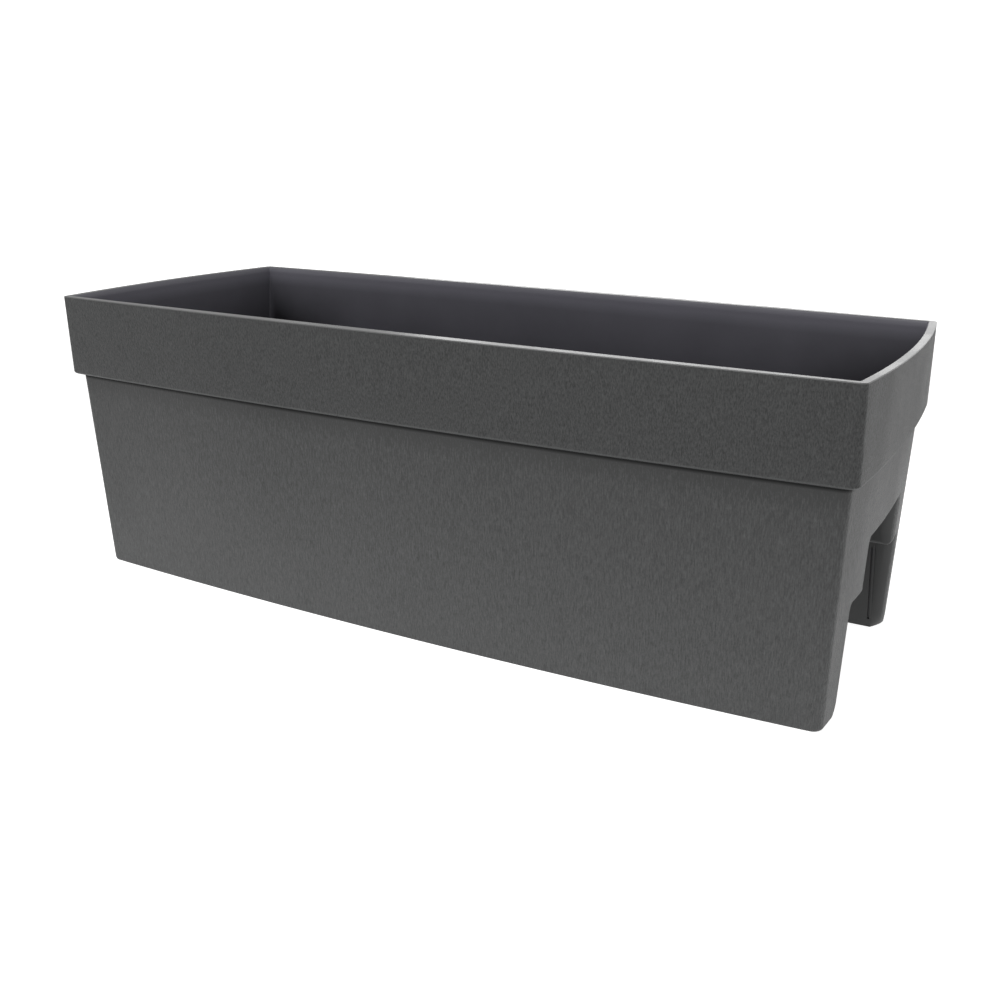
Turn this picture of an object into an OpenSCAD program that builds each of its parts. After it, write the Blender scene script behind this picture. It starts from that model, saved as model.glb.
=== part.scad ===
// Self watering planter that sits astride a deck rail.
// Origin: centre of the footprint, on the plane of the feet. +X runs along the length, +Z is up.
// The rear leg's parts are the front leg's parts turned half a turn about the Z axis.

/* [Planter body] */
// Overall length, across the bowed end walls at the rim
length = 610; // [600:5:660]
// Overall width, across the bowed long walls at the rim
width = 256; // [256:2:280]
// Overall height
height = 217.5; // [210:0.5:240]
// Height of the raised band round the rim
band_h = 60; // [40:1:70]
// Thickness of the moulded walls
wall = 2.6; // [2.4:0.1:3.2]
// Width of the rim's top face at the corners
rim_w = 4.5; // [4:0.1:6]

/* [Rail saddle] */
// Width of the narrow channel, for a nominal 2x4 rail
narrow_w = 90; // [89.5:0.5:92]
// Width of the wide channel, for a nominal 2x6 rail
wide_w = 142; // [141:0.5:143]
// Height of the narrow channel's roof
saddle_z = 108; // [100:1:115]
// Height of the ledge that rests on a wide rail
ledge_z = 73; // [70:0.5:75]
// Rounding of the legs' upright corners at both ends
leg_round = 8; // [6:0.5:9]
// How far the grip ribs stand into the wide channel
grip_rib = 0.8; // [0.4:0.1:0.9]

/* [Fixing screws] */
// Distance between the two screw holes in the saddle
screw_spacing = 400; // [300:10:420]
// Diameter of a screw hole
screw_d = 5.5; // [4.5:0.1:6.5]

/* [Watering parts] */
// Places of the wick baskets along the leg
basket_x = [-220, -70, 80];
// Place of the drain plug along the leg
plug_x = 5; // [-10:1:20]
// Place of the level indicator along the leg
level_x = 222; // [215:1:226]
// Place of the filler tube along the leg
filler_x = 262; // [260:1:264]
// Height of the top of the filler flap
filler_top = 169; // [160:1:180]
// Full travel of the float
float_travel = 40; // [30:1:42]
// Height of the overflow standpipe's mouth, which sets the highest water level
overflow_z = 62; // [50:1:66]
// Diameter of the flap's hinge pin
pin_d = 2.5; // [2:0.1:2.6]
// Radial running clearance of the moving parts
run_gap = 0.05; // [0.02:0.01:0.09]

/* [Hidden] */
$fn = 64;
eps = 0.02;

// Outlines at four heights: [corner half length, corner half width, end bow, side bow, corner radius]
rim = [length / 2 - 7.2, width / 2 - 6.4, 7.2, 6.4, 4];
band_foot = [length / 2 - 6, width / 2 - 9, 4, 8, 9];
body_top = [length / 2 - 11, width / 2 - 14.6, 5.8, 8.5, 10];
base = [length / 2 - 14.2, width / 2 - 24.2, 5.1, 9.2, 4];
band_z = height - band_h;

// The leg's own centre line, and the levels inside it
leg_y = 88;
plug_y = 91;
// Where the legs' end walls stand, beside the wide channel and beside the narrow one
wide_end_x = base[0] + 3.4;
narrow_end_x = base[0] + 5.4;
grid_z = ledge_z + wall;
grid_t = 2.5;
deck_z = grid_z + grid_t;
flange_t = 2;

// Posts under the grid, ribs on the channel walls, and collars round the screw holes
post_x = [-250, -145, -30, 45, 180, 240];
post_w = 3;
rib_w = 2;
rib_foot_z = 8;
collar_h = 9;
collar_r = 7;

// Round openings and slots of the grid, with the gap left round each part that drops in
fit_gap = 0.4;
finger_hole_x = [-145, 155];
finger_hole_r = 9;
slot_pitch = 17;
slot_row = 8;
slot = [10, 2.5];

// Wick basket: radius at the grid and at its foot, wall, and height of its foot
basket_r = 12;
basket_foot_r = 8.5;
basket_wall = 1.4;
basket_foot_z = 4.5;

// Drain plug and the pad that it closes
plug_pad_z = 7.5;
plug_pad_r = 16.5;
plug_recess_z = 4;
plug_recess_r = 14;
plug_face_z = 0.6;
plug_flange_t = 1.9;
plug_stem_r = 8;
plug_lug_r = 11;
plug_lug_w = 5;
plug_lug_h = 2.4;
seal_t = 1.45;
pipe_r = 6;
pipe_bore_r = 4.2;

// Level indicator
tube_r = 9.5;
tube_bore_r = 8;
tube_foot_z = 5;
float_z = 6.7;
float_h = 28;
float_r = 7.3;
rod_r = 1.5;
tip_z = 123;
tip_h = 6;
tip_r = 4.5;
lens_spigot = 6;
lens_z = tip_z + tip_h - 15 + float_travel;
lens_wall = 1.5;
lens_bore_r = 6.4;

// Filler tube and its flap
filler_foot_z = 58;
filler_bore_r = 8;
mouth_r = 16;
mouth_bore_r = 14.5;
flap_t = 2.5;
flap_gap = 0.3;
mouth_z = filler_top - flap_t - flap_gap;
hinge_r = 2.6;
hinge_y = leg_y + mouth_r + 2.4;
hinge_z = mouth_z + 1.4;
knuckle_w = 10;
ear_w = 4;
ear_gap = 0.2;

shell_grey = [0.25, 0.26, 0.26];
part_grey = [0.16, 0.17, 0.18];
seal_black = [0.06, 0.06, 0.06];
foam_white = [0.9, 0.89, 0.85];
tip_red = [0.75, 0.08, 0.06];
lens_clear = [0.8, 0.88, 0.9];
steel = [0.6, 0.6, 0.62];

// ---- Outline of the bowed box ----

// An outline shrunk on all sides, with its side bow scaled
function inset(o, d, side = 1) = [o[0] - d, o[1] - d, o[2], o[3] * side, max(o[4] - d, 1.5)];

// The quarter of an outline from +X round to +Y: bowed end, rounded corner, bowed side
function quarter(o) = let (
    ends = 4,
    sides = 8,
    turn = 4,
    cx = o[0] - o[4],
    cy = o[1] - o[4]
) concat(
    [for (i = [0:ends]) [o[0] + o[2] * (1 - pow(i / ends, 2)), cy * i / ends]],
    [for (i = [1:turn]) let (t = 90 * i / (turn + 1)) [cx + o[4] * cos(t), cy + o[4] * sin(t)]],
    [for (i = [sides:-1:0]) [cx * i / sides, o[1] + o[3] * (1 - pow(i / sides, 2))]]
);

// The whole outline, from its quarter reflected in both axes
function outline(o) = let (
    q = quarter(o),
    n = len(q)
) concat(
    q,
    [for (i = [n - 2:-1:0]) [-q[i][0], q[i][1]]],
    [for (i = [1:n - 1]) [-q[i][0], -q[i][1]]],
    [for (i = [n - 2:-1:1]) [q[i][0], -q[i][1]]]
);

// An outline part of the way from one height to another
function between(low, high, t) = [for (i = [0:4]) low[i] + (high[i] - low[i]) * t];

module slab(o, z) {
    translate([0, 0, z])
        linear_extrude(eps)
            polygon(outline(o));
}

// A drafted block between two outlines
module block(low, z_low, high, z_high) {
    hull() {
        slab(low, z_low);
        slab(high, z_high - eps);
    }
}

// ---- Saddle ----

module four_ways() {
    for (mx = [0, 1])
        for (my = [0, 1])
            mirror([mx, 0, 0])
                mirror([0, my, 0])
                    children();
}

// A list of points and its reflection in the Y axis, as one path from +X to -X
function reflected(q) = concat(q, [for (i = [len(q) - 1:-1:0]) [-q[i][0], q[i][1]]]);

// Plan of a channel that runs past both ends and flares round the legs' upright corners
module channel_plan(half_w, end_x, r) {
    side = reflected(concat(
        [[length, half_w + r]],
        [for (t = [90:-15:0]) [end_x - r + r * sin(t), half_w + r - r * cos(t)]]
    ));
    polygon(concat(side, [for (i = [len(side) - 1:-1:0]) [side[i][0], -side[i][1]]]));
}

// The stepped channel; grow thickens it by a wall, which gives the ridge inside the planter
module saddle(grow) {
    translate([0, 0, -1])
        linear_extrude(saddle_z + grow + 1)
            channel_plan(narrow_w / 2 + grow, narrow_end_x - grow, leg_round - grow);
    translate([0, 0, -1])
        linear_extrude(ledge_z + grow + 1)
            channel_plan(wide_w / 2 + grow, wide_end_x - grow, leg_round - grow);
}

// Tapered rib on a channel wall, below the ledge
module grip_ribs() {
    four_ways()
        translate([wide_end_x - leg_round + rib_w, wide_w / 2, 0])
            rotate([90, 0, 90])
                linear_extrude(rib_w)
                    polygon([
                        [2, rib_foot_z], [0, rib_foot_z], [-grip_rib, ledge_z - 6],
                        [-grip_rib, ledge_z + 1], [2, ledge_z + 1]
                    ]);
}

// ---- Shell ----

module outer_form() {
    block(base, 0, body_top, band_z + wall);
    block(band_foot, band_z, rim, height);
}

module hollow_form() {
    block(inset(base, wall), wall, inset(body_top, wall), band_z + wall + 0.5);
    mouth = inset(rim, rim_w, 0.4);
    block(inset(band_foot, wall + 0.5), band_z + wall, mouth, height);
    // Carries the cut straight up through the rim's top face
    translate([0, 0, height - eps])
        linear_extrude(1)
            polygon(outline(mouth));
}

// Posts on the outer wall that carry the grid's outer edge
module grid_posts() {
    for (x = post_x)
        translate([x - post_w / 2, leg_y + 11, 0])
            cube([post_w, 40, grid_z]);
}

// Raised pad round the drain hole, and the recess beneath it
module plug_pad() {
    translate([plug_x, plug_y, 0])
        cylinder(h = plug_pad_z, r = plug_pad_r);
}

module plug_hole() {
    translate([plug_x, plug_y, -1])
        cylinder(h = plug_recess_z + 1, r = plug_recess_r);
    translate([plug_x, plug_y, 0])
        cylinder(h = plug_pad_z + 1, r = plug_stem_r + run_gap);
    translate([plug_x, plug_y, plug_pad_z / 2 + 1])
        cube([2 * plug_lug_r + 1, plug_lug_w + 1, plug_pad_z + 2], center = true);
}

module screw_places() {
    for (sx = [-1, 1])
        translate([sx * screw_spacing / 2, 0, saddle_z])
            children();
}

module both_legs() {
    front()
        children();
    rear()
        children();
}

module planter_shell() {
    color(shell_grey)
        difference() {
            union() {
                difference() {
                    outer_form();
                    difference() {
                        hollow_form();
                        saddle(wall);
                        both_legs()
                            grid_posts();
                        both_legs()
                            plug_pad();
                    }
                    saddle(0);
                }
                grip_ribs();
                screw_places()
                    translate([0, 0, 1])
                        cylinder(h = collar_h - 1, r = collar_r);
            }
            both_legs()
                plug_hole();
            screw_places()
                translate([0, 0, -1])
                    cylinder(h = collar_h + 3, d = screw_d);
        }
}

// ---- Watering parts ----

// Outer edge of the grid: the body's outline at the grid's height, less the wall and a gap
grid_outline = inset(between(base, body_top, grid_z / band_z), wall + 0.8);
grid_openings = concat(basket_x, finger_hole_x, [level_x, filler_x]);

module grid_plan() {
    difference() {
        intersection() {
            polygon(outline(grid_outline));
            translate([-length, 0])
                square([2 * length, width]);
        }
        channel_plan(narrow_w / 2 + wall + 0.8, narrow_end_x - wall - 0.8, leg_round - wall - 0.8);
        for (x = basket_x)
            translate([x, leg_y])
                circle(basket_r + fit_gap);
        for (x = [level_x, filler_x])
            translate([x, leg_y])
                circle(tube_r + fit_gap);
        for (x = finger_hole_x)
            translate([x, leg_y])
                circle(finger_hole_r);
    }
}

// Slots that let water up and air down, wherever they stay clear of the round openings
module grid_slots() {
    for (i = [-16:16])
        for (y = [56:slot_row:96])
            if (min([for (x = grid_openings) norm([i * slot_pitch - x, y - leg_y])]) > 21)
                translate([i * slot_pitch, y])
                    square(slot, center = true);
}

module water_grid() {
    color(part_grey) {
        translate([0, 0, grid_z])
            linear_extrude(grid_t)
                difference() {
                    grid_plan();
                    grid_slots();
                }
        // Stiffening rib along the plate's inner edge
        translate([-270, 50, deck_z - eps])
            cube([540, 2, 5]);
    }
}

// Slotted cup with a flange, hung in the grid
module basket() {
    difference() {
        rotate_extrude()
            polygon([
                [0, basket_foot_z], [basket_foot_r, basket_foot_z], [basket_r, grid_z], [basket_r, deck_z],
                [basket_r + 3.5, deck_z], [basket_r + 3.5, deck_z + flange_t],
                [basket_r - basket_wall, deck_z + flange_t], [basket_foot_r - basket_wall, basket_foot_z + 2],
                [0, basket_foot_z + 2]
            ]);
        for (a = [0:60:120])
            rotate([0, 0, a])
                translate([-20, -1.25, 14])
                    cube([40, 2.5, 50]);
        translate([0, 0, 4])
            cylinder(h = 4, r = 2.5);
    }
}

module wick_baskets() {
    color(part_grey)
        for (x = basket_x)
            translate([x, leg_y, 0])
                basket();
}

// ---- Filler ----

module filler_tube() {
    color(part_grey)
        difference() {
            union() {
                translate([filler_x, leg_y, 0])
                    rotate_extrude()
                        polygon([
                            [filler_bore_r, filler_foot_z], [tube_r, filler_foot_z], [tube_r, deck_z],
                            [tube_r + 4.5, deck_z], [tube_r + 4.5, deck_z + flange_t],
                            [tube_r, deck_z + flange_t], [tube_r, mouth_z - 20], [mouth_r, mouth_z - 10],
                            [mouth_r, mouth_z], [mouth_bore_r, mouth_z], [mouth_bore_r, mouth_z - 9.5],
                            [filler_bore_r, mouth_z - 19.5]
                        ]);
                for (s = [-1, 1])
                    hinge_ear(s);
            }
            translate([filler_x - 30, hinge_y, hinge_z])
                rotate([0, 90, 0])
                    cylinder(h = 60, d = pin_d + 0.04);
        }
}

// Ear outside the knuckle, tied down to the funnel's wall
module hinge_ear(s) {
    inner = knuckle_w / 2 + ear_gap;
    translate([filler_x + s * (inner + ear_w / 2), 0, 0]) {
        translate([-ear_w / 2, hinge_y, hinge_z])
            rotate([0, 90, 0])
                cylinder(h = ear_w, r = hinge_r);
        translate([-ear_w / 2, hinge_y - 5, mouth_z - 8])
            cube([ear_w, 5 + hinge_r, 8]);
    }
}

module filler_cap() {
    color(part_grey)
        difference() {
            union() {
                translate([filler_x, leg_y, mouth_z + flap_gap])
                    cylinder(h = flap_t, r = mouth_r + 0.5);
                // Lip inside the mouth
                translate([filler_x, leg_y, mouth_z - 3])
                    difference() {
                        cylinder(h = 3.4, r = mouth_bore_r - 2.2);
                        translate([0, 0, -1])
                            cylinder(h = 4.35, r = mouth_bore_r - 3.7);
                    }
                // Knuckle and the web that ties it to the flap
                translate([filler_x - knuckle_w / 2, hinge_y, hinge_z])
                    rotate([0, 90, 0])
                        cylinder(h = knuckle_w, r = hinge_r);
                translate([filler_x - knuckle_w / 2, hinge_y - 5, mouth_z + flap_gap])
                    cube([knuckle_w, 5, flap_t]);
                // Thumb tab
                translate([filler_x - 5, leg_y - mouth_r - 3.5, mouth_z + flap_gap])
                    cube([10, 6, flap_t]);
            }
            translate([filler_x - 30, hinge_y, hinge_z])
                rotate([0, 90, 0])
                    cylinder(h = 60, r = pin_d / 2 + run_gap);
            // Room for the ears when the flap is open
            for (s = [-1, 1])
                translate([filler_x + s * (knuckle_w / 2 + ear_gap + ear_w / 2), hinge_y, hinge_z])
                    cube([ear_w + 2 * ear_gap - eps, 2 * hinge_r + 3, 12], center = true);
        }
}

module cap_pin() {
    reach = knuckle_w / 2 + ear_gap + ear_w;
    color(steel)
        translate([filler_x - reach, hinge_y, hinge_z])
            rotate([0, 90, 0]) {
                cylinder(h = 2 * reach, d = pin_d);
                translate([0, 0, -1.2])
                    cylinder(h = 1.2, d = pin_d + 1.6);
            }
}

// ---- Level indicator ----

module level_tube() {
    web_z = tip_z - 5;
    color(part_grey)
        translate([level_x, leg_y, 0])
            difference() {
                rotate_extrude()
                    polygon([
                        [5, tube_foot_z], [tube_r, tube_foot_z], [tube_r, deck_z], [tube_r + 3.5, deck_z],
                        [tube_r + 3.5, deck_z + flange_t], [tube_r, deck_z + flange_t],
                        [tube_r, lens_z], [tube_bore_r, lens_z],
                        [tube_bore_r, web_z + 3], [rod_r + run_gap, web_z + 3], [rod_r + run_gap, web_z],
                        [tube_bore_r, web_z], [tube_bore_r, tube_foot_z + 1.5], [5, tube_foot_z + 1.5]
                    ]);
                // Slots that let the water in
                for (a = [0, 90])
                    rotate([0, 0, a])
                        translate([-20, -1.5, tube_foot_z + 4])
                            cube([40, 3, 50]);
            }
}

module level_float() {
    color(foam_white)
        translate([level_x, leg_y, float_z])
            difference() {
                rotate_extrude()
                    polygon([
                        [0, 0], [float_r - 1.1, 0], [float_r, 1.1], [float_r, float_h - 1.1],
                        [float_r - 1.1, float_h], [0, float_h]
                    ]);
                translate([0, 0, 8])
                    cylinder(h = float_h, r = rod_r);
            }
}

module level_rod() {
    color(tip_red)
        translate([level_x, leg_y, 0])
            rotate_extrude()
                polygon([
                    [0, float_z + 8], [rod_r, float_z + 8], [rod_r, tip_z], [tip_r, tip_z],
                    [tip_r, tip_z + tip_h - 1.5], [tip_r - 1.5, tip_z + tip_h], [0, tip_z + tip_h]
                ]);
}

module level_lens() {
    top = tip_z + tip_h + float_travel + 0.8;
    color(lens_clear)
        translate([level_x, leg_y, 0])
            rotate_extrude()
                polygon([
                    [lens_bore_r, lens_z - lens_spigot], [tube_bore_r - 0.05, lens_z - lens_spigot],
                    [tube_bore_r - 0.05, lens_z],
                    [tube_r, lens_z], [tube_r, top - 1.5], [tube_r - 3, top + lens_wall],
                    [0, top + lens_wall], [0, top], [lens_bore_r - 1, top], [lens_bore_r, top - 1]
                ]);
}

// ---- Drain plug ----

module drain_plug() {
    color(part_grey)
        translate([plug_x, plug_y, 0])
            difference() {
                union() {
                    translate([0, 0, plug_face_z])
                        cylinder(h = plug_flange_t, r = plug_recess_r - 0.8);
                    translate([0, 0, plug_face_z])
                        cylinder(h = plug_pad_z + plug_lug_h, r = plug_stem_r);
                    // Lugs that lock over the pad
                    translate([-plug_lug_w / 2, -plug_lug_r, plug_pad_z + 0.15])
                        cube([plug_lug_w, 2 * plug_lug_r, plug_lug_h]);
                    standpipe();
                }
                translate([0, 0, -1])
                    cylinder(h = overflow_z + 2, r = pipe_bore_r);
                // Slot for a coin, across the underside
                translate([0, 0, plug_face_z])
                    cube([2 * plug_recess_r - 6, 2.4, 2], center = true);
            }
}

// Standpipe above the stem
module standpipe() {
    translate([0, 0, plug_pad_z])
        cylinder(h = overflow_z - plug_pad_z, r = pipe_r);
}

module plug_seal() {
    color(seal_black)
        translate([plug_x, plug_y, plug_face_z + plug_flange_t])
            difference() {
                cylinder(h = seal_t, r = plug_recess_r - 1);
                translate([0, 0, -1])
                    cylinder(h = 4, r = plug_stem_r + 0.02);
            }
}

// Parts are drawn on the +Y side: the front leg's are mirrored, and the rear leg's are the front ones turned
module front() {
    mirror([0, 1, 0])
        children();
}

module rear() {
    rotate([0, 0, 180])
        front()
            children();
}

planter_shell();
front() water_grid();  // front_water_grid
front() wick_baskets();  // front_wick_baskets
front() filler_tube();  // front_filler_tube
front() filler_cap();  // front_filler_cap
front() cap_pin();  // front_cap_pin
front() level_tube();  // front_level_tube
front() level_float();  // front_level_float
front() level_rod();  // front_level_rod
front() level_lens();  // front_level_lens
front() drain_plug();  // front_drain_plug
front() plug_seal();  // front_plug_seal
rear() water_grid();  // rear_water_grid
rear() wick_baskets();  // rear_wick_baskets
rear() filler_tube();  // rear_filler_tube
rear() filler_cap();  // rear_filler_cap
rear() cap_pin();  // rear_cap_pin
rear() level_tube();  // rear_level_tube
rear() level_float();  // rear_level_float
rear() level_rod();  // rear_level_rod
rear() level_lens();  // rear_level_lens
rear() drain_plug();  // rear_drain_plug
rear() plug_seal();  // rear_plug_seal
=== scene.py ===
import math

import bmesh
import bpy
import numpy as np
from mathutils import Matrix, Vector


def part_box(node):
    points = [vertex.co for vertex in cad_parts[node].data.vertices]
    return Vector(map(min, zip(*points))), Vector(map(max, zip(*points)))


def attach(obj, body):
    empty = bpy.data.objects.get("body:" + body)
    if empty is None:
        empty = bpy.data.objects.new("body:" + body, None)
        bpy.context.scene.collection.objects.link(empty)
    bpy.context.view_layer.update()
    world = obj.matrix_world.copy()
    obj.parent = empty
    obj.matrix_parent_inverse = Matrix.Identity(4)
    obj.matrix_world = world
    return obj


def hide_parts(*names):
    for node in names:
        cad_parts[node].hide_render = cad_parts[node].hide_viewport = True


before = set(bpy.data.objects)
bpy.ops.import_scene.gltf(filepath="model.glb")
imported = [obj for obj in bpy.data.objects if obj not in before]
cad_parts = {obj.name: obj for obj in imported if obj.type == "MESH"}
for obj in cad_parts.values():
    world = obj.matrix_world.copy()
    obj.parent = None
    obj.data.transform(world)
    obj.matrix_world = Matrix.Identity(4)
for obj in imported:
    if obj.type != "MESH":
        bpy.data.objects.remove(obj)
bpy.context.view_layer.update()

MM = 0.001
HALF_L, HALF_W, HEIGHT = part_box("planter_shell")[1]

# ---- Driving sizes of the shell, in metres ----

WALL = 2.6 * MM
BAND_Z = HEIGHT - 60 * MM  # foot of the rim band
LIP_W = 4.5 * MM
FOOT_END_R, FOOT_SIDE_R, FOOT_MOUTH_R = 2.8 * MM, 1.2 * MM, 11.5 * MM

# Outlines: corner half length, corner half width, end bow, side bow, corner radius
RIM = (HALF_L - 7.2 * MM, HALF_W - 6.4 * MM, 7.2 * MM, 6.4 * MM, 4 * MM)
BAND_FOOT = (HALF_L - 6 * MM, HALF_W - 9 * MM, 4 * MM, 8 * MM, 5.5 * MM)
BODY_TOP = (HALF_L - 11 * MM, HALF_W - 14.6 * MM, 5.8 * MM, 8.5 * MM, 6 * MM)
BASE = (HALF_L - 14.2 * MM, HALF_W - 24.2 * MM, 5.1 * MM, 9.2 * MM, 6 * MM)
LEAST_CORNER_R = 1.2 * MM
END_STEPS, CORNER_STEPS, SIDE_STEPS = 12, 10, 36

# The stepped channel underneath: half width and top of each step, fillets inside it and at its mouths
NARROW_HALF, NARROW_Z = 45 * MM, 108 * MM
WIDE_HALF, WIDE_Z = 71 * MM, 73 * MM
HOLLOW_R, CORNER_R = 3 * MM, 2.5 * MM
WIDE_MOUTH_R, NARROW_MOUTH_R, EDGE_R = 8 * MM, 9.5 * MM, 4 * MM
BELOW_FEET, PAST_END = -10 * MM, 340 * MM  # where the cutter starts and stops, clear of the shell

# Ribs that grip a wide rail, and the groove beside each: where they start and stop along the channel,
# and how far their feet lean towards the end
RIB_X = (280.4 * MM, 281.8 * MM)
GROOVE_X = (278.9 * MM, 280.38 * MM)
RIB_LEAN = 4 * MM

# Drain plug fittings in the legs' floors: place, pad, recess, bore and the keyway beside the bore
LEGS = ((1, -1), (-1, 1))  # the rear leg's fittings are the front leg's turned half a turn
PLUG_X, PLUG_Y = 5 * MM, 91 * MM
PAD_R, PAD_TOP = 16.5 * MM, 7.5 * MM
RECESS_R, RECESS_TOP = 14 * MM, 4 * MM
BORE_R, BORE_TOP = 8.05 * MM, 12 * MM
KEYWAY_HALF_L, KEYWAY_HALF_W, KEYWAY_LOW, KEYWAY_TOP = 11.5 * MM, 3 * MM, 2 * MM, 11 * MM

# Screw fittings in the channel's roof
SCREW_X, SCREW_R = 200 * MM, 2.75 * MM
POST_R, POST_TOP = 7 * MM, 9 * MM

# Posts under the grids' outer edges: places along the front leg in mm, half thickness and inner side
GRID_POSTS_X = (-250, -145, -30, 45, 180, 240)
GRID_POST_HALF, GRID_POST_Y = 1.5 * MM, 99 * MM

OVERLAP = 1 * MM  # how far pieces reach into each other before they are merged


# ---- Outlines and lofts ----

def mix(a, b, t):
    return tuple(p + (q - p) * t for p, q in zip(a, b))


def inset(outline, d):
    a, b, end_bow, side_bow, r = outline
    return a - d, b - d, end_bow, side_bow, max(r - d, LEAST_CORNER_R)


def outer(z):
    """The outside outline at height z."""
    if z <= BAND_Z:
        return mix(BASE, BODY_TOP, z / BAND_Z)
    return mix(BAND_FOOT, RIM, (z - BAND_Z) / (HEIGHT - BAND_Z))


def corner_angles(outline):
    """How far the bowed end and the bowed side lean where they meet the corner's arc."""
    a, b, end_bow, side_bow, r = outline
    return math.atan(2 * end_bow / (b - r)), math.atan(2 * side_bow / (a - r))


def outline_points(outline):
    """The closed outline, anticlockwise from +X: bowed ends and sides with tangent corner arcs."""
    a, b, end_bow, side_bow, r = outline
    lean_end, lean_side = corner_angles(outline)
    cx, cy = a - r * math.cos(lean_end), b - r * math.cos(lean_side)
    end_y, side_x = cy + r * math.sin(lean_end), cx + r * math.sin(lean_side)
    quarter = []
    for i in range(END_STEPS):
        quarter.append((a + end_bow * (1 - (i / END_STEPS) ** 2), end_y * i / END_STEPS))
    for i in range(CORNER_STEPS + 1):
        t = lean_end + (math.pi / 2 - lean_side - lean_end) * i / CORNER_STEPS
        quarter.append((cx + r * math.cos(t), cy + r * math.sin(t)))
    for i in range(SIDE_STEPS - 1, -1, -1):
        quarter.append((side_x * i / SIDE_STEPS, b + side_bow * (1 - (i / SIDE_STEPS) ** 2)))
    left = [(-x, y) for x, y in reversed(quarter[:-1])]
    upper = quarter + left
    return upper + [(x, -y) for x, y in reversed(upper[1:-1])]


def end_x(y, z):
    """Where the outside of the end wall stands."""
    a, b, end_bow, side_bow, r = outer(max(z, 0))
    return a + end_bow * (1 - (y / (b - r)) ** 2)


def side_y(x, z):
    """Where the outside of the long wall stands."""
    a, b, end_bow, side_bow, r = outer(max(z, 0))
    return b + side_bow * (1 - (x / (a - r)) ** 2)


def linked(name, data):
    """A new object in the scene."""
    obj = bpy.data.objects.new(name, data)
    bpy.context.scene.collection.objects.link(obj)
    return obj


def loft(name, rings):
    """A closed mesh through equal rings of points, capped at both ends."""
    n = len(rings[0])
    faces = []
    for k in range(len(rings) - 1):
        for i in range(n):
            j = (i + 1) % n
            faces.append((k * n + i, k * n + j, (k + 1) * n + j, (k + 1) * n + i))
    faces.append(tuple(reversed(range(n))))
    faces.append(tuple(range((len(rings) - 1) * n, len(rings) * n)))
    mesh = bpy.data.meshes.new(name)
    mesh.from_pydata([p for ring in rings for p in ring], [], faces)
    bm = bmesh.new()
    bm.from_mesh(mesh)
    bmesh.ops.recalc_face_normals(bm, faces=bm.faces)
    bm.to_mesh(mesh)
    bm.free()
    return linked(name, mesh)


def level(outline, z):
    return [(x, y, z) for x, y in outline_points(outline)]


def quarter_turn(steps):
    return [math.pi / 2 * i / steps for i in range(steps + 1)]


def spread(low, high, steps):
    """Values between low and high, without either end."""
    return [low + (high - low) * i / steps for i in range(1, steps)]


def foot_levels():
    """Heights that follow the feet's fillets: the side one, then the rest of the taller end one."""
    sides = [FOOT_SIDE_R * (1 - math.cos(t)) for t in quarter_turn(4)]
    ends = [FOOT_END_R * (1 - math.cos(t)) for t in quarter_turn(8)]
    clear_of_sides = FOOT_SIDE_R * 1.1
    return sides + [z for z in ends if z > clear_of_sides]


def fillet(r, z):
    """How far a fillet of radius r has drawn the wall in at height z above the floor."""
    return r - math.sqrt(r * r - (r - z) ** 2) if 0 <= z < r else r * (z < 0)


# ---- Shell ----

def band_step(under_r, band_r):
    """Rings of the step out to the rim band: a fillet under it, then its rounded lower edge."""
    step = BAND_FOOT[0] - BODY_TOP[0]
    just_over = 1e-6  # takes the band's outline, not the body's, at the step itself
    rings = []
    for t in quarter_turn(3):
        z = BAND_Z - under_r * (1 - math.sin(t))
        rings.append(level(mix(BODY_TOP, BAND_FOOT, under_r * (1 - math.cos(t)) / step), z))
    for t in quarter_turn(4):
        z = BAND_Z + band_r * (1 - math.cos(t))
        way_out = 1 - band_r * (1 - math.sin(t)) / step
        rings.append(level(mix(BODY_TOP, outer(z + just_over), way_out), z))
    return rings


def outer_body():
    """The outside form: fillet at the feet, bowed walls, step up to the rim band, rounded rim."""
    under_r, band_r, rim_r = 1.0 * MM, 2.0 * MM, 0.6 * MM
    rings = []
    for z in foot_levels():
        a, b, end_bow, side_bow, r = outer(z)
        drawn_in = (a - fillet(FOOT_END_R, z), b - fillet(FOOT_SIDE_R, z), end_bow, side_bow, r)
        rings.append(level(drawn_in, z))
    for z in spread(FOOT_END_R, BAND_Z - under_r, steps=14):
        rings.append(level(outer(z), z))
    rings += band_step(under_r, band_r)
    for z in spread(BAND_Z + band_r, HEIGHT - rim_r, steps=8):
        rings.append(level(outer(z), z))
    for t in quarter_turn(4):
        z = HEIGHT - rim_r * (1 - math.sin(t))
        rings.append(level(inset(outer(z), rim_r * (1 - math.cos(t))), z))
    return loft("outer_body", rings)


# The curve of the inside step behind the band: way across the step, and height over its middle in mm
INSIDE_STEP = ((0, 3.0), (0.03, 1.8), (0.12, 0.9), (0.3, 0.3), (0.5, 0.0),
               (0.7, -0.3), (0.88, -0.9), (0.97, -1.8), (1, -3.0))


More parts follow.
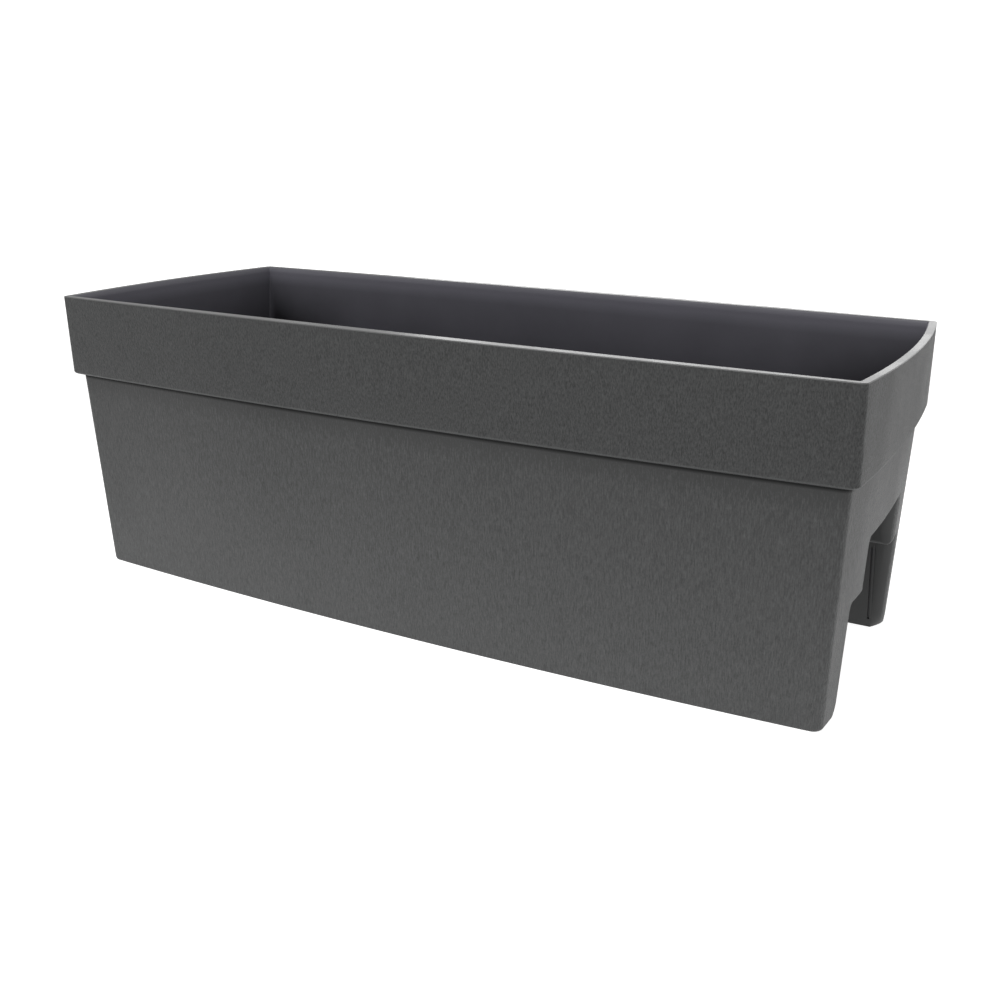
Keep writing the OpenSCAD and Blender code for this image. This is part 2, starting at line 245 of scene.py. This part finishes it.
def hollow_body():
    """The inside form, from above the lip's inner edge down to the floor."""
    mouth = (RIM[0] - LIP_W, RIM[1] - LIP_W, RIM[2], RIM[3] * 0.4, 1.6 * MM)
    band_low, body_high = inset(BAND_FOOT, WALL + 0.5 * MM), inset(BODY_TOP, WALL)
    above, edge_w, edge_h = 5 * MM, 1.6 * MM, 5 * MM
    step, step_half, floor_r = BAND_Z + WALL, 3 * MM, 3 * MM

    def band_inside(z):
        return mix(band_low, mouth, (z - step) / (HEIGHT - step))

    rings = [level(mouth, HEIGHT + above)]
    for t in quarter_turn(5):
        z = HEIGHT - edge_h * (1 - math.cos(t))
        rings.append(level(inset(band_inside(z), -edge_w * (1 - math.sin(t)) + edge_w), z))
    for z in spread(HEIGHT - edge_h, step + step_half, steps=6):
        rings.append(level(inset(band_inside(z), edge_w * (z - step) / (HEIGHT - step)), z))
    for way, over in INSIDE_STEP:
        rings.append(level(mix(band_low, body_high, way), step + over * MM))
    for z in spread(step - step_half, WALL + floor_r, steps=12):
        rings.append(level(inset(outer(min(z, BAND_Z)), WALL), z))
    for t in quarter_turn(4):
        z = WALL + floor_r * (1 - math.sin(t))
        rings.append(level(inset(outer(z), WALL + floor_r * (1 - math.cos(t))), z))
    return loft("hollow_body", rings)


def arc(cy, cz, r, start, stop, steps=6):
    return [(cy + r * math.cos(math.radians(a)), cz + r * math.sin(math.radians(a)))
            for a in np.linspace(start, stop, steps)]


def saddle_half(grow):
    """Half of the channel's section, from under the foot up to the middle of the roof."""
    wide, narrow = WIDE_HALF + grow, NARROW_HALF + grow
    ledge, roof = WIDE_Z + grow, NARROW_Z + grow
    points = [(wide, BELOW_FEET)]
    points += [(wide, FOOT_MOUTH_R * (1 - math.cos(t))) for t in quarter_turn(10)]
    points += [(wide, z) for z in spread(FOOT_MOUTH_R, ledge - HOLLOW_R, steps=5)]
    points += arc(wide - HOLLOW_R, ledge - HOLLOW_R, HOLLOW_R, 0, 90)
    points += [(y, ledge) for y in spread(wide - HOLLOW_R, narrow + CORNER_R, steps=3)]
    points += arc(narrow + CORNER_R, ledge + CORNER_R, CORNER_R, 270, 180)
    points += [(narrow, z) for z in spread(ledge + CORNER_R, roof - HOLLOW_R, steps=4)]
    points += arc(narrow - HOLLOW_R, roof - HOLLOW_R, HOLLOW_R, 0, 90)
    points += [(y, roof) for y in spread(narrow - HOLLOW_R, 0, steps=4)]
    return points


def share(value, low, high):
    """How far value is on its way from low to high, from 0 to 1."""
    return min(max((value - low) / (high - low), 0), 1)


def mouth_flare(y, z, grow):
    """How far the mouth opens out at this point of the section: across, up and along."""
    narrow = NARROW_HALF + grow
    ledge, roof = WIDE_Z + grow, NARROW_Z + grow
    bend, least, near = 4 * MM, 0.4 * MM, 0.1 * MM
    wide_r, narrow_r, edge_r = (max(r - grow, least) for r in (WIDE_MOUTH_R, NARROW_MOUTH_R, EDGE_R))
    if z <= ledge + near:
        top = share(z, ledge - bend, ledge)
        across = wide_r + (narrow_r - wide_r) * share(WIDE_HALF + grow - y, 0, WIDE_HALF - NARROW_HALF)
        return across, edge_r * top, wide_r + (edge_r - wide_r) * top
    if z <= roof - bend:
        low = 1 - share(z, ledge, ledge + bend)
        return narrow_r, edge_r * low, narrow_r + (edge_r - narrow_r) * low
    top = share(z, roof - bend, roof)
    return narrow_r * share(y, 0, narrow), edge_r * top, narrow_r + (edge_r - narrow_r) * top


def saddle_section(half, side, turn, grow, stop=None):
    """A section of the channel's form at one end, opened out by turn along the mouth's fillet."""
    ring = []
    for y, z in half:
        across, up, along = mouth_flare(y, z, grow)
        opened = 1 - math.cos(turn)
        py = y + across * opened + fillet(FOOT_MOUTH_R, z) * math.sin(turn) * (grow == 0)
        pz = z + up * opened
        x = stop or end_x(py, pz) - along * (1 - math.sin(turn)) - grow
        ring.append((side * x, py, pz))
    return ring + [(x, -y, z) for x, y, z in reversed(ring)]


def saddle_body(name, grow):
    """The channel's form, opening out at both mouths: the cutter, or with grow the ridge over it."""
    half = saddle_half(grow)
    turns = [math.radians(a) for a in (0, 11, 22, 33, 44, 54, 64, 74, 84)]
    last = math.radians(88)
    rings = [saddle_section(half, -1, last, grow, PAST_END)]
    rings += [saddle_section(half, -1, t, grow) for t in reversed(turns)]
    for middle_x in (-270 * MM, -140 * MM, 0, 140 * MM, 270 * MM):
        rings.append([(middle_x, y, z) for _, y, z in saddle_section(half, 1, 0, grow)])
    rings += [saddle_section(half, 1, t, grow) for t in turns]
    return loft(name, rings + [saddle_section(half, 1, last, grow, PAST_END)])


def lathe(name, profile, place, steps=48):
    """A closed solid turned about a vertical line through place, from (radius, height) points."""
    px, py, pz = place
    turns = [2 * math.pi * i / steps for i in range(steps)]
    return loft(name, [[(px + r * math.cos(t), py + r * math.sin(t), pz + z) for t in turns]
                       for r, z in profile])


def block(name, low, high):
    (x0, y0, z0), (x1, y1, z1) = low, high
    corners = ((x0, y0), (x1, y0), (x1, y1), (x0, y1))
    return loft(name, [[(x, y, z) for x, y in corners] for z in (z0, z1)])


def join(name, objects):
    """One object from several closed solids."""
    bm = bmesh.new()
    for obj in objects:
        bm.from_mesh(obj.data)
        bpy.data.objects.remove(obj)
    mesh = bpy.data.meshes.new(name)
    bm.to_mesh(mesh)
    bm.free()
    return linked(name, mesh)


def combine(target, tool, operation):
    """Applies one exact boolean to target and removes the tool."""
    modifier = target.modifiers.new(operation, "BOOLEAN")
    modifier.operation = operation
    modifier.solver = "EXACT"
    modifier.object = tool
    modifier.use_self = False
    evaluated = target.evaluated_get(bpy.context.evaluated_depsgraph_get())
    mesh = bpy.data.meshes.new_from_object(evaluated)
    target.modifiers.clear()
    target.data = mesh
    bpy.data.objects.remove(tool)


def rounded_top(r, high, edge):
    """Lathe profile of a post with a rounded top edge."""
    profile = [(r, OVERLAP)]
    for t in quarter_turn(4):
        profile.append((r - edge * (1 - math.cos(t)), high - edge * (1 - math.sin(t))))
    return profile


def at_screws(name, profile):
    return join(name, [lathe(name, profile, (side * SCREW_X, 0, NARROW_Z)) for side in (-1, 1)])


def at_plugs(name, profile):
    return join(name, [lathe(name, profile, (sx * PLUG_X, sy * PLUG_Y, 0)) for sx, sy in LEGS])


def screw_holes():
    flare, below, above = 0.8 * MM, -5 * MM, 20 * MM
    mouth_r = SCREW_R + flare
    return at_screws("screw_holes", [(mouth_r, below), (mouth_r, 0), (SCREW_R, flare), (SCREW_R, above)])


def plug_recesses():
    flare, below = 1 * MM, -5 * MM
    mouth_r = RECESS_R + flare
    profile = [(mouth_r, below), (mouth_r, 0), (RECESS_R, flare), (RECESS_R, RECESS_TOP)]
    return at_plugs("plug_recesses", profile)


def plug_keyways():
    """Slots beside the bores, which the plugs' lugs pass through."""
    blocks = []
    for sx, sy in LEGS:
        x, y = sx * PLUG_X, sy * PLUG_Y
        blocks.append(block("keyway", (x - KEYWAY_HALF_L, y - KEYWAY_HALF_W, KEYWAY_LOW),
                            (x + KEYWAY_HALF_L, y + KEYWAY_HALF_W, KEYWAY_TOP)))
    return join("plug_keyways", blocks)


def grid_posts():
    """Posts on the legs' outer walls, leaning with the walls, that carry the grids' outer edges."""
    posts = []
    for sx, sy in LEGS:
        for place in GRID_POSTS_X:
            x = sx * place * MM
            rings = []
            for z in (OVERLAP, WIDE_Z + WALL):
                low_x, high_x, out_y = x - GRID_POST_HALF, x + GRID_POST_HALF, side_y(x, z) - OVERLAP
                rings.append([(low_x, sy * GRID_POST_Y, z), (high_x, sy * GRID_POST_Y, z),
                              (high_x, sy * out_y, z), (low_x, sy * out_y, z)])
            posts.append(loft("post", rings))
    return join("grid_posts", posts)


def four_bars(name, ends_x, edge):
    """A bar on each wall of the wide channel near each mouth, from (y, z) points; it leans outwards."""
    bars = []
    for sx in (-1, 1):
        for sy in (-1, 1):
            rings = []
            for x in ends_x:
                rings.append([(sx * (x + RIB_LEAN * (1 - z / WIDE_Z)), sy * y, z) for y, z in edge])
            bars.append(loft("bar", rings))
    return join(name, bars)


def grip_ribs():
    """Ribs that taper to nothing at the foot."""
    root, crest = WIDE_HALF + 1.5 * MM, WIDE_HALF - 1.0 * MM
    foot, full, top = 7 * MM, 30 * MM, WIDE_Z + OVERLAP
    edge = [(root, foot), (WIDE_HALF, foot), (crest, full), (crest, top), (root, top)]
    return four_bars("grip_ribs", RIB_X, edge)


def rib_grooves():
    """The narrow groove beside each rib."""
    open_side, bottom = WIDE_HALF - 2 * MM, WIDE_HALF + 1.5 * MM
    foot, top = 6 * MM, WIDE_Z - 12 * MM
    edge = [(open_side, foot), (bottom, foot), (bottom, top), (open_side, top)]
    return four_bars("rib_grooves", GROOVE_X, edge)


def build_shell():
    """The whole moulding as one closed mesh."""
    shell, hollow = outer_body(), hollow_body()
    combine(hollow, saddle_body("ridge", WALL), "DIFFERENCE")
    combine(shell, hollow, "DIFFERENCE")
    combine(shell, saddle_body("channel", 0), "DIFFERENCE")
    plug_pads = at_plugs("plug_pads", rounded_top(PAD_R, PAD_TOP, 1 * MM))
    screw_posts = at_screws("screw_posts", rounded_top(POST_R, POST_TOP, 1.2 * MM))
    for tool in (grid_posts(), plug_pads, screw_posts, grip_ribs()):
        combine(shell, tool, "UNION")
    plug_bores = at_plugs("plug_bores", [(BORE_R, OVERLAP), (BORE_R, BORE_TOP)])
    for tool in (rib_grooves(), plug_recesses(), plug_bores, plug_keyways(), screw_holes()):
        combine(shell, tool, "DIFFERENCE")
    shell.name = "planter_body"
    return shell


shell = build_shell()
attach(shell, "planter")
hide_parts("planter_shell")


# ---- Material nodes ----

def material(name, color, roughness, **extra):
    """A new material, its node tree and its main shader."""
    made = bpy.data.materials.new(name)
    made.use_nodes = True
    shader = made.node_tree.nodes["Principled BSDF"]
    shader.inputs["Base Color"].default_value = (*color, 1)
    shader.inputs["Roughness"].default_value = roughness
    for key, value in extra.items():
        shader.inputs[key.replace("_", " ")].default_value = value
    return made, made.node_tree, shader


def add(tree, kind, links=(), **values):
    """Adds a node, sets its inputs or settings by name, and links other nodes' outputs into it."""
    made = tree.nodes.new(kind)
    for key, value in values.items():
        name = key.replace("_", " ").title()
        if name in made.inputs:
            made.inputs[name].default_value = value
        else:
            setattr(made, key, value)
    for target, source in dict(links).items():
        tree.links.new(source, made.inputs[target])
    return made


def object_place(tree):
    return add(tree, "ShaderNodeTexCoord").outputs["Object"]


def axes(tree, vector):
    """A vector's outputs X, Y and Z."""
    return add(tree, "ShaderNodeSeparateXYZ", {0: vector}).outputs


def stretched(tree, scale):
    """Object coordinates, scaled by axis."""
    return add(tree, "ShaderNodeMapping", {"Vector": object_place(tree)}, scale=scale).outputs["Vector"]


def noise(tree, scale, size, detail=4.0, roughness=0.6):
    """Noise from 0 to 1 with its own stretch; size is in features per metre."""
    place = {"Vector": stretched(tree, scale)}
    made = add(tree, "ShaderNodeTexNoise", place, detail=detail, roughness=roughness)
    made.inputs["Scale"].default_value = size
    return made.outputs["Fac"]


def bead_edges(tree, size):
    """Distance from the joints between beads, as a share of their size; size is in beads per metre."""
    place = {"Vector": stretched(tree, (1, 1, 1))}
    made = add(tree, "ShaderNodeTexVoronoi", place, feature="DISTANCE_TO_EDGE")
    made.inputs["Scale"].default_value = size
    return made.outputs["Distance"]


def remap(tree, value, low, high, to_low=0.0, to_high=1.0):
    made = add(tree, "ShaderNodeMapRange", {"Value": value})
    for key, number in (("From Min", low), ("From Max", high), ("To Min", to_low), ("To Max", to_high)):
        made.inputs[key].default_value = number
    return made.outputs["Result"]


def math_node(tree, operation, a, b):
    """Arithmetic between an output and an output or a number."""
    made = add(tree, "ShaderNodeMath", {0: a}, operation=operation)
    if isinstance(b, (int, float)):
        made.inputs[1].default_value = b
    else:
        tree.links.new(b, made.inputs[1])
    return made.outputs["Value"]


def plus(tree, a, b):
    return math_node(tree, "ADD", a, b)


def minus(tree, a, b):
    return math_node(tree, "SUBTRACT", a, b)


def times(tree, a, b):
    return math_node(tree, "MULTIPLY", a, b)


def size_of(tree, a):
    return math_node(tree, "ABSOLUTE", a, 0)


def blend(tree, a, b, weight):
    """Weighted mean of two outputs; weight is the first one's."""
    return plus(tree, times(tree, a, weight), times(tree, b, 1 - weight))


def tint(tree, shader, factor, low, high):
    """Base colour that runs from low to high with factor."""
    made = add(tree, "ShaderNodeMix", data_type="RGBA")
    tree.links.new(factor, made.inputs["Factor"])
    colors = [i for i in made.inputs if i.type == "RGBA"]
    colors[0].default_value = (*low, 1)
    colors[1].default_value = (*high, 1)
    output = [o for o in made.outputs if o.type == "RGBA"][0]
    tree.links.new(output, shader.inputs["Base Color"])


def roughen(tree, shader, factor, low, high, span=(0.3, 0.7)):
    """Roughness that runs from low to high while factor crosses span."""
    tree.links.new(remap(tree, factor, *span, low, high), shader.inputs["Roughness"])


def relief(tree, shader, height, depth):
    """Surface grain; depth is in metres. Returns the bump node."""
    made = add(tree, "ShaderNodeBump", {"Height": height}, strength=1.0, distance=depth)
    tree.links.new(made.outputs["Normal"], shader.inputs["Normal"])
    return made


def shade(color, factor):
    return tuple(c * factor for c in color)


# ---- Shell finishes ----

CHARCOAL = (0.036, 0.037, 0.037)
SMOOTH = (0.098, 0.096, 0.112)
# The rim's top takes a lighter grey than the charcoal: a painted highlight of the light it reflects.
LIP_HIGHLIGHT = (0.11, 0.11, 0.11)


def ridge_line(tree, height, low, peak, high):
    """1 at height peak, falling to 0 at low and at high."""
    return times(tree, remap(tree, height, low, peak), remap(tree, height, peak, high, 1, 0))


def band_shadow(tree, height, end_on, dimming):
    """The crevice under the band, and how much a painted edge highlight lightens and painted shadow
    darkens the wall.
    """
    # painted shadow in the crevice under the band's overhang
    crevice = ridge_line(tree, height, BAND_Z - 3.9 * MM, BAND_Z - 1.8 * MM, BAND_Z + 0.4 * MM)
    # painted highlight along the band's lower edge, stronger on the ends
    edge = ridge_line(tree, height, BAND_Z, BAND_Z + 0.7 * MM, BAND_Z + 2 * MM)
    # painted shade on the wall just under the band, and painted shade that darkens the wall towards its
    # top
    under = remap(tree, height, BAND_Z - 18 * MM, BAND_Z - 3 * MM, 0, 0.33 * dimming)
    upwards = remap(tree, height, 15 * MM, BAND_Z, 0, 0.3 * dimming)
    dark = plus(tree, plus(tree, under, upwards), times(tree, crevice, 1.2))
    return crevice, minus(tree, times(tree, edge, remap(tree, end_on, 0, 1, 0.8, 3)), dark)


def grained(name, color, along, fine, depth, contrast, gloss, dimming):
    """Charcoal plastic with a moulded grain of fine features per metre, depth metres deep.

    along stretches the grain up and down the wall, contrast is the span of its values, gloss is the
    specular level, and dimming sets how much painted shade darkens the wall towards the band.
    """
    made, tree, shader = material(name, color, 0.5)
    streaks = noise(tree, (1, 0.7, along), fine, 2.0)
    pebble = noise(tree, (1, 0.7, 0.6), fine * 0.8, 2.0)
    grain, clouds = blend(tree, streaks, pebble, 0.65), noise(tree, (1, 1, 0.5), 14)
    facing = axes(tree, add(tree, "ShaderNodeNewGeometry").outputs["Normal"])["X"]
    end_on = remap(tree, size_of(tree, facing), 0.3, 0.9)
    gain = remap(tree, end_on, 0, 1, 0.35 / contrast, 0.42 / contrast)
    # painted shadow, shade and highlight at the band's foot
    crevice, change = band_shadow(tree, axes(tree, object_place(tree))["Z"], end_on, dimming)
    speckle = times(tree, minus(tree, grain, 0.5), gain)
    lift = plus(tree, speckle, plus(tree, times(tree, clouds, 0.3), 0.35))
    tint(tree, shader, plus(tree, lift, change), shade(color, 0.4), shade(color, 1.6))
    bump = relief(tree, shader, grain, depth)
    tree.links.new(remap(tree, end_on, 0, 1, depth, 3 * depth), bump.inputs["Distance"])
    # reflection turned down in the painted shadow under the band
    tree.links.new(remap(tree, crevice, 0, 1, gloss, 0.02), shader.inputs["Specular IOR Level"])
    roughen(tree, shader, clouds, 0.46, 0.58)
    return made


def clouding(tree):
    return noise(tree, (1, 1, 1), 22)


def scuffed(tree, shader):
    """Faint scuffs up and down the wall, as relief; returns them."""
    scuffs = noise(tree, (1, 1, 0.05), 420, 3.0, 0.7)
    relief(tree, shader, scuffs, 0.04 * MM)
    return scuffs


def smooth_plastic(name, color, roughness):
    """Smooth moulded plastic with faint clouding and scuffs."""
    made, tree, shader = material(name, color, roughness)
    clouds, scuffs = clouding(tree), scuffed(tree, shader)
    tint(tree, shader, blend(tree, clouds, scuffs, 0.75), shade(color, 0.8), shade(color, 1.2))
    roughen(tree, shader, clouds, roughness - 0.05, roughness + 0.05)
    return made


def inside_plastic():
    """The smooth inside: a painted highlight where it rolls over under the rim, painted shade low down
    and into the ends.
    """
    made, tree, shader = material("inside_plastic", SMOOTH, 0.42)
    parts = axes(tree, object_place(tree))
    height, along = parts["Z"], size_of(tree, parts["X"])
    # painted shade that deepens below the rim
    deep_shade = remap(tree, height, HEIGHT - 4 * MM, HEIGHT - 70 * MM)
    # painted shade in the corners towards the ends, weaker on the end walls themselves
    end_corner_shade = times(tree, remap(tree, along, HALF_L - 110 * MM, HALF_L - 20 * MM), deep_shade)
    end_wall = remap(tree, along, HALF_L - 17 * MM, HALF_L - 12 * MM, 0.8, 0.25)
    # painted highlight where the inside rolls over under the rim
    roll = ridge_line(tree, height, HEIGHT - 16 * MM, HEIGHT - 5 * MM, HEIGHT)
    lift = plus(tree, times(tree, clouding(tree), 0.22), 0.625)
    lift = minus(tree, lift, times(tree, deep_shade, 0.38))
    lift = minus(tree, lift, times(tree, end_corner_shade, end_wall))
    lift = plus(tree, lift, times(tree, roll, 0.42))
    tint(tree, shader, lift, shade(SMOOTH, 0.15), shade(SMOOTH, 1.75))
    scuffed(tree, shader)
    return made


def depth_inside(x, y, z):
    """How far a point lies inside the outer surface."""
    a, b, end_bow, side_bow, r = outer(min(max(z, 0), HEIGHT))
    x, y = abs(x), abs(y)
    gap = min(a + end_bow * (1 - (y / (b - r)) ** 2) - x, b + side_bow * (1 - (x / (a - r)) ** 2) - y)
    if x > a - r and y > b - r:
        gap = r - math.hypot(x - a + r, y - b + r)
    return gap


WALL_ZONE, BAND_ZONE, LIP_ZONE, INSIDE_ZONE, UNDER_ZONE = range(5)


def in_channel(x, y, z, outward):
    """Whether a face belongs to the channel, its mouths or the feet."""
    flared = 12 * MM  # how far a mouth's fillets reach past the wide channel's wall
    at_mouth = abs(x) > BASE[0] - 6 * MM and outward > 0
    if at_mouth and z < NARROW_Z + EDGE_R and abs(y) < WIDE_HALF + flared:
        return True
    half = WIDE_HALF if z < WIDE_Z + 1.5 * MM else NARROW_HALF
    return abs(y) < half + 0.2 * MM and z < NARROW_Z + 1 * MM or z < 1.5 * MM


def finish_zone(face):
    """Which finish a face of the shell takes."""
    x, y, z = face.center
    up = face.normal.z
    lip_deep, step_near, floor_near, skin = 0.5 * MM, 1.2 * MM, 1.0 * MM, 1.5 * MM
    if z > HEIGHT - lip_deep:
        return LIP_ZONE
    if up < -0.3 and abs(z - BAND_Z) < step_near:
        return BAND_ZONE
    if z > floor_near and depth_inside(x, y, z) < skin:
        return BAND_ZONE if z > BAND_Z else WALL_ZONE
    if in_channel(x, y, z, face.normal.x * x) or up < -0.5:
        return UNDER_ZONE
    return INSIDE_ZONE


def finish_shell():
    """Gives the shell its five finishes, in the order of the zones, and its shading."""
    # The wall takes a slightly lighter copy of the charcoal and the band a darker one: painted shade that
    # darkens the planter towards its top.
    wall = grained("wall_grain", shade(CHARCOAL, 1.04), along=0.14, fine=1400, depth=0.3 * MM,
                   contrast=0.13, gloss=0.5, dimming=1)
    band = grained("band_grain", shade(CHARCOAL, 0.79), along=0.3, fine=1450, depth=0.4 * MM,
                   contrast=0.1, gloss=0.4, dimming=0)
    # the lip's lighter grey is a painted highlight
    for finish in (wall, band, smooth_plastic("lip_highlight_plastic", LIP_HIGHLIGHT, 0.28), inside_plastic(),
                   # the charcoal darkened to 0.6 is painted shade in the channel and under the planter
                   smooth_plastic("underneath_shaded_plastic", shade(CHARCOAL, 0.6), 0.55)):
        shell.data.materials.append(finish)
    for face in shell.data.polygons:
        face.material_index = finish_zone(face)
        face.use_smooth = True
    shell.data.set_sharp_from_angle(angle=math.radians(32))
    normals = shell.modifiers.new("even_normals", "WEIGHTED_NORMAL")
    normals.keep_sharp = True


finish_shell()


# ---- Finishes of the watering parts ----

def inner_plastic():
    """Black recycled plastic: satin, with fine grain and pale dust in the hollows of the grain."""
    made, tree, shader = material("inner_plastic", (0.03, 0.032, 0.034), 0.45)
    grain, clouds = noise(tree, (1, 1, 1), 1800, 3.0), noise(tree, (1, 1, 1), 60, 5.0, 0.65)
    dust = remap(tree, blend(tree, grain, clouds, 0.4), 0.35, 0.65)
    tint(tree, shader, dust, (0.03, 0.032, 0.035), (0.075, 0.078, 0.083))
    roughen(tree, shader, clouds, 0.36, 0.52)
    relief(tree, shader, grain, 0.1 * MM)
    return made


def bead_foam():
    """Pressed white beads."""
    made, tree, shader = material("bead_foam", (0.86, 0.85, 0.82), 0.7)
    gaps = remap(tree, bead_edges(tree, 420), 0.0, 0.16)
    tint(tree, shader, gaps, (0.55, 0.54, 0.5), (0.88, 0.87, 0.84))
    relief(tree, shader, gaps, 0.4 * MM)
    return made


def tip_red():
    """Glossy red plastic, unevenly coloured."""
    made, tree, shader = material("tip_red", (0.55, 0.02, 0.015), 0.28)
    clouds = noise(tree, (1, 1, 1), 300)
    tint(tree, shader, clouds, (0.42, 0.012, 0.01), (0.68, 0.03, 0.02))
    relief(tree, shader, clouds, 0.05 * MM)
    return made


def lens_clear():
    """Clear plastic with hairline scuffs round it."""
    made, tree, shader = material("lens_clear", (0.95, 0.98, 0.99), 0.06,
                                  Transmission_Weight=1.0, IOR=1.49)
    scuffs = noise(tree, (1, 1, 9), 260, 4.0, 0.7)
    tint(tree, shader, scuffs, (0.88, 0.94, 0.96), (0.98, 0.99, 1.0))
    roughen(tree, shader, scuffs, 0.03, 0.16, span=(0.4, 0.7))
    return made


def pin_steel():
    """Drawn stainless wire, with lines along it."""
    made, tree, shader = material("pin_steel", (0.6, 0.6, 0.6), 0.3, Metallic=1.0)
    lines = noise(tree, (0.05, 1, 1), 5000, 2.0, 0.5)
    tint(tree, shader, lines, (0.48, 0.48, 0.49), (0.68, 0.68, 0.68))
    roughen(tree, shader, lines, 0.22, 0.4)
    relief(tree, shader, lines, 0.03 * MM)
    return made


def seal_rubber():
    """Matt black rubber with pale specks."""
    made, tree, shader = material("seal_rubber", (0.012, 0.012, 0.012), 0.75)
    specks = noise(tree, (1, 1, 1), 1400, 4.0, 0.7)
    tint(tree, shader, remap(tree, specks, 0.4, 0.7), (0.008, 0.008, 0.008), (0.03, 0.03, 0.028))
    relief(tree, shader, specks, 0.1 * MM)
    return made


def dress(node, finish, edge):
    """Gives a CAD piece its finish and breaks its sharp edges."""
    node.data.materials.clear()
    node.data.materials.append(finish)
    weld = node.modifiers.new("weld", "WELD")
    weld.merge_threshold = 0.01 * MM
    bevel = node.modifiers.new("edges", "BEVEL")
    bevel.width, bevel.segments, bevel.limit_method = edge, 2, "ANGLE"
    bevel.angle_limit = math.radians(38)
    node.modifiers.new("even_normals", "WEIGHTED_NORMAL")


def dress_watering_parts():
    """Each CAD piece's finish, and the bevel of its edges in mm; the two legs' sets are alike."""
    black, foam, red, lens = inner_plastic(), bead_foam(), tip_red(), lens_clear()
    finishes = {"water_grid": (black, 0.25), "wick_baskets": (black, 0.25), "filler_tube": (black, 0.3),
                "filler_cap": (black, 0.4), "cap_pin": (pin_steel(), 0.2), "level_tube": (black, 0.3),
                "level_float": (foam, 0.4), "level_rod": (red, 0.3), "level_lens": (lens, 0.3),
                "drain_plug": (black, 0.3), "plug_seal": (seal_rubber(), 0.3)}
    for name, (finish, edge) in finishes.items():
        for leg in ("front", "rear"):
            dress(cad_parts[f"{leg}_{name}"], finish, edge * MM)


dress_watering_parts()


# ---- Stage, in metres and watts ----

FLOOR_R, FLOOR_STEPS = 4, 96
KEY_LIGHT = {"place": (-0.5, -1.6, 2.5), "target": (-0.1, 0, 0.1), "size": (1.6, 1.6), "power": 24}
RIM_LIGHT = {"place": (-0.4, 2.7, 0.75), "target": (0, 0, 0.2), "size": (2.6, 0.9), "power": 10}
CAMERA_PLACE, CAMERA_TURN = (0.4016, -0.7217, 0.3402), (28.11, 18.10, 0.74)
CAMERA_LENS, CAMERA_SENSOR = 40.6, 36  # millimetres


def floor_paint():
    """White paint that glows under the planter and again far out, and is clear from below."""
    made, tree, shader = material("floor_paint", (0.92, 0.92, 0.92), 0.8)
    shader.inputs["Emission Color"].default_value = (1, 1, 1, 1)
    away = add(tree, "ShaderNodeVectorMath", {0: object_place(tree)}, operation="LENGTH").outputs["Value"]
    near, far = remap(tree, away, 0.2, 0.7, 0.95, 0.45), remap(tree, away, 0.75, 1.6, 0, 0.8)
    tree.links.new(math_node(tree, "MAXIMUM", near, far), shader.inputs["Emission Strength"])
    clear = add(tree, "ShaderNodeBsdfTransparent")
    side = add(tree, "ShaderNodeNewGeometry").outputs["Backfacing"]
    sides = {0: side, 1: shader.outputs["BSDF"], 2: clear.outputs["BSDF"]}
    mixed = add(tree, "ShaderNodeMixShader", sides).outputs["Shader"]
    tree.links.new(mixed, tree.nodes["Material Output"].inputs["Surface"])
    return made


def stage_floor():
    """A round white floor that fades into the white background."""
    turns = [2 * math.pi * i / FLOOR_STEPS for i in range(FLOOR_STEPS)]
    points = [(0, 0, 0)] + [(FLOOR_R * math.cos(t), FLOOR_R * math.sin(t), 0) for t in turns]
    mesh = bpy.data.meshes.new("floor")
    mesh.from_pydata(points, [], [(0, i + 1, (i + 1) % FLOOR_STEPS + 1) for i in range(FLOOR_STEPS)])
    mesh.materials.append(floor_paint())
    linked("floor", mesh)


def softbox(name, place, target, size, power):
    """A rectangular light at place, turned to target."""
    light = bpy.data.lights.new(name, "AREA")
    light.shape = "RECTANGLE"
    light.size, light.size_y = size
    light.energy = power
    obj = linked(name, light)
    obj.location = place
    obj.rotation_euler = (Vector(target) - Vector(place)).to_track_quat("-Z", "Y").to_euler()


def studio():
    """White all round, a little brighter near the horizon, with a soft light above and one behind."""
    stage_floor()
    softbox("key", **KEY_LIGHT)
    softbox("rim_light", **RIM_LIGHT)
    world = bpy.data.worlds.new("studio")
    world.use_nodes = True
    tree = world.node_tree
    sky = tree.nodes["Background"]
    sky.inputs["Color"].default_value = (1, 1, 1, 1)
    height = axes(tree, add(tree, "ShaderNodeTexCoord").outputs["Generated"])["Z"]
    glow = remap(tree, height, 0.05, 0.35, 0.62, 0.55)
    seen = add(tree, "ShaderNodeLightPath").outputs["Is Camera Ray"]  # pure white behind the planter
    tree.links.new(plus(tree, glow, seen), sky.inputs["Strength"])
    bpy.context.scene.world = world
    bpy.context.scene.view_settings.view_transform = "Standard"


def aim(yaw, pitch, roll):
    """Camera rotation from its turn to the left, its tilt down and its roll, in degrees."""
    yaw, pitch, roll = (math.radians(v) for v in (yaw, pitch, roll))
    forward = Vector((-math.sin(yaw) * math.cos(pitch), math.cos(yaw) * math.cos(pitch),
                      -math.sin(pitch)))
    right = Vector((math.cos(yaw), math.sin(yaw), 0))
    up = right.cross(forward)
    across = right * math.cos(roll) + up * math.sin(roll)
    above = up * math.cos(roll) - right * math.sin(roll)
    return Matrix((across, above, -forward)).transposed().to_4x4()


def place_camera():
    camera_data = bpy.data.cameras.new("camera")
    camera_data.lens, camera_data.sensor_width = CAMERA_LENS, CAMERA_SENSOR
    camera = linked("camera", camera_data)
    camera.matrix_world = Matrix.Translation(CAMERA_PLACE) @ aim(*CAMERA_TURN)
    bpy.context.scene.camera = camera


studio()
place_camera()
